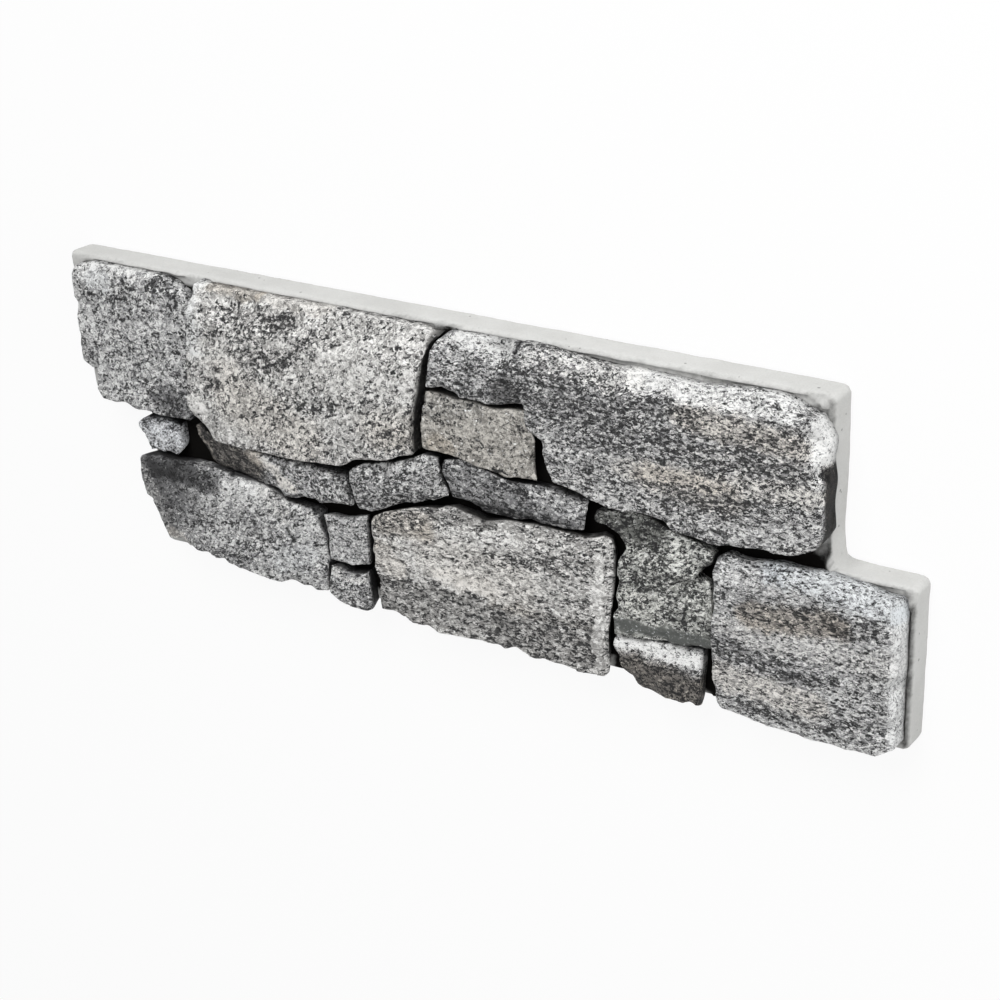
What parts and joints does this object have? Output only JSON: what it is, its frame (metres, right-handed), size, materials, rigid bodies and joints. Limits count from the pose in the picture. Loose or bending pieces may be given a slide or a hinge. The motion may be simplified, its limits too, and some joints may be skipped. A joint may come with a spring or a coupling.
{
  "type": "stone cladding panel",
  "caption": "Stepped wall-cladding panel of split grey granite stones set close together on a cast concrete backing.",
  "frame": {"origin": "middle of the panel's outline, on the flat back face of the concrete", "axes": "+X along the rows towards the lower row's free end, +Y towards the panel's top edge, +Z out of the wall, from the back face to the stones"},
  "size_m": [0.5998, 0.2, 0.04],
  "materials": {
    "concrete": "cast, matt, finely pored",
    "grey_granite": "split, speckled",
    "warm_granite": "split, speckled",
    "dark_granite": "split, speckled"
  },
  "bodies": {
    "root": {"backing_slab": "concrete", "left_block": "grey_granite", "centre_block": "warm_granite", "upper_stack_stone": "grey_granite", "beige_stack_stone": "warm_granite", "right_block": "grey_granite", "left_spall": "grey_granite", "wedge_stone": "dark_granite", "slanted_bed_stone": "grey_granite", "long_bed_stone": "grey_granite", "corner_stone": "dark_granite", "notched_stone": "grey_granite", "square_spall": "grey_granite", "lower_spall": "grey_granite", "middle_block": "warm_granite", "under_stone": "grey_granite", "end_block": "grey_granite"}
  },
  "joints": []
}
